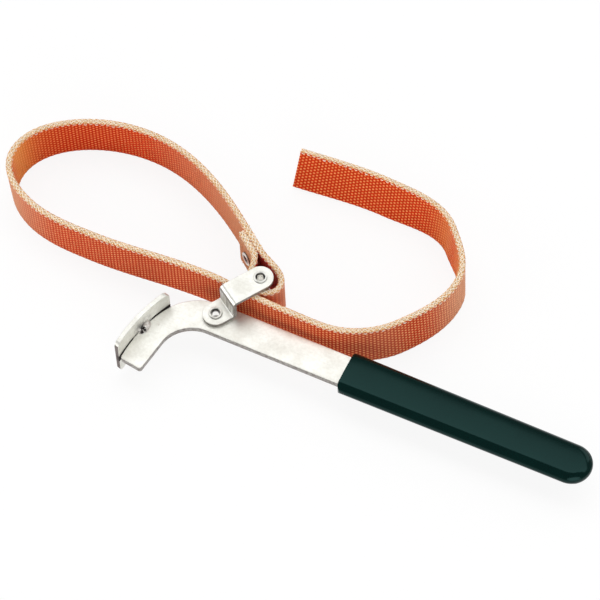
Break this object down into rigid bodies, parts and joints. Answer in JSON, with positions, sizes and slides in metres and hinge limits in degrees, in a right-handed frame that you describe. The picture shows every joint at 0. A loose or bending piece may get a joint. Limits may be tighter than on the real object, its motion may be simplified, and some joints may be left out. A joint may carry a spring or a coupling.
{
  "type": "oil filter strap wrench",
  "caption": "Oil filter wrench: a hooked flat steel bar with a dipped grip and a curved shoe, swinging link plates and a webbing strap looped round their pin.",
  "frame": {"origin": "on the axis of the bar rivet, at mid-thickness of the bar", "axes": "+X along the bar towards the grip, +Y across the bar towards the strap, +Z along the rivets"},
  "size_m": [0.3357, 0.1475, 0.0316],
  "materials": {
    "plated_steel": "pale satin zinc plating",
    "weld_metal": "lumpy plated weld",
    "dipped_vinyl": "smooth dipped vinyl, dark green, soft gloss",
    "webbing": "coarse woven webbing, orange-red with pale edges"
  },
  "bodies": {
    "handle": {"handle_bar": "plated_steel", "shoe": "plated_steel", "upper_weld": "weld_metal", "lower_weld": "weld_metal", "grip": "dipped_vinyl", "bar_rivet": "plated_steel"},
    "link": {"upper_link": "plated_steel", "lower_link": "plated_steel", "strap_pin": "plated_steel", "pin_sleeve": "plated_steel"},
    "strap": {"strap": "webbing", "strap_rivet": "plated_steel"}
  },
  "joints": [
    {"name": "link_pivot", "type": "hinge", "parent": "handle", "child": "link", "pos_m": [0, 0, 0], "axis": [0, 0, 1], "range_deg": [-5, 60]},
    {"name": "strap_pivot", "type": "hinge", "parent": "link", "child": "strap", "pos_m": [0.01416, 0.02181, 0], "axis": [0, 0, 1], "range_deg": [-60, 5]}
  ],
  "couplings": [
    {"joint": "strap_pivot", "follows": "link_pivot", "ratio": -1}
  ]
}
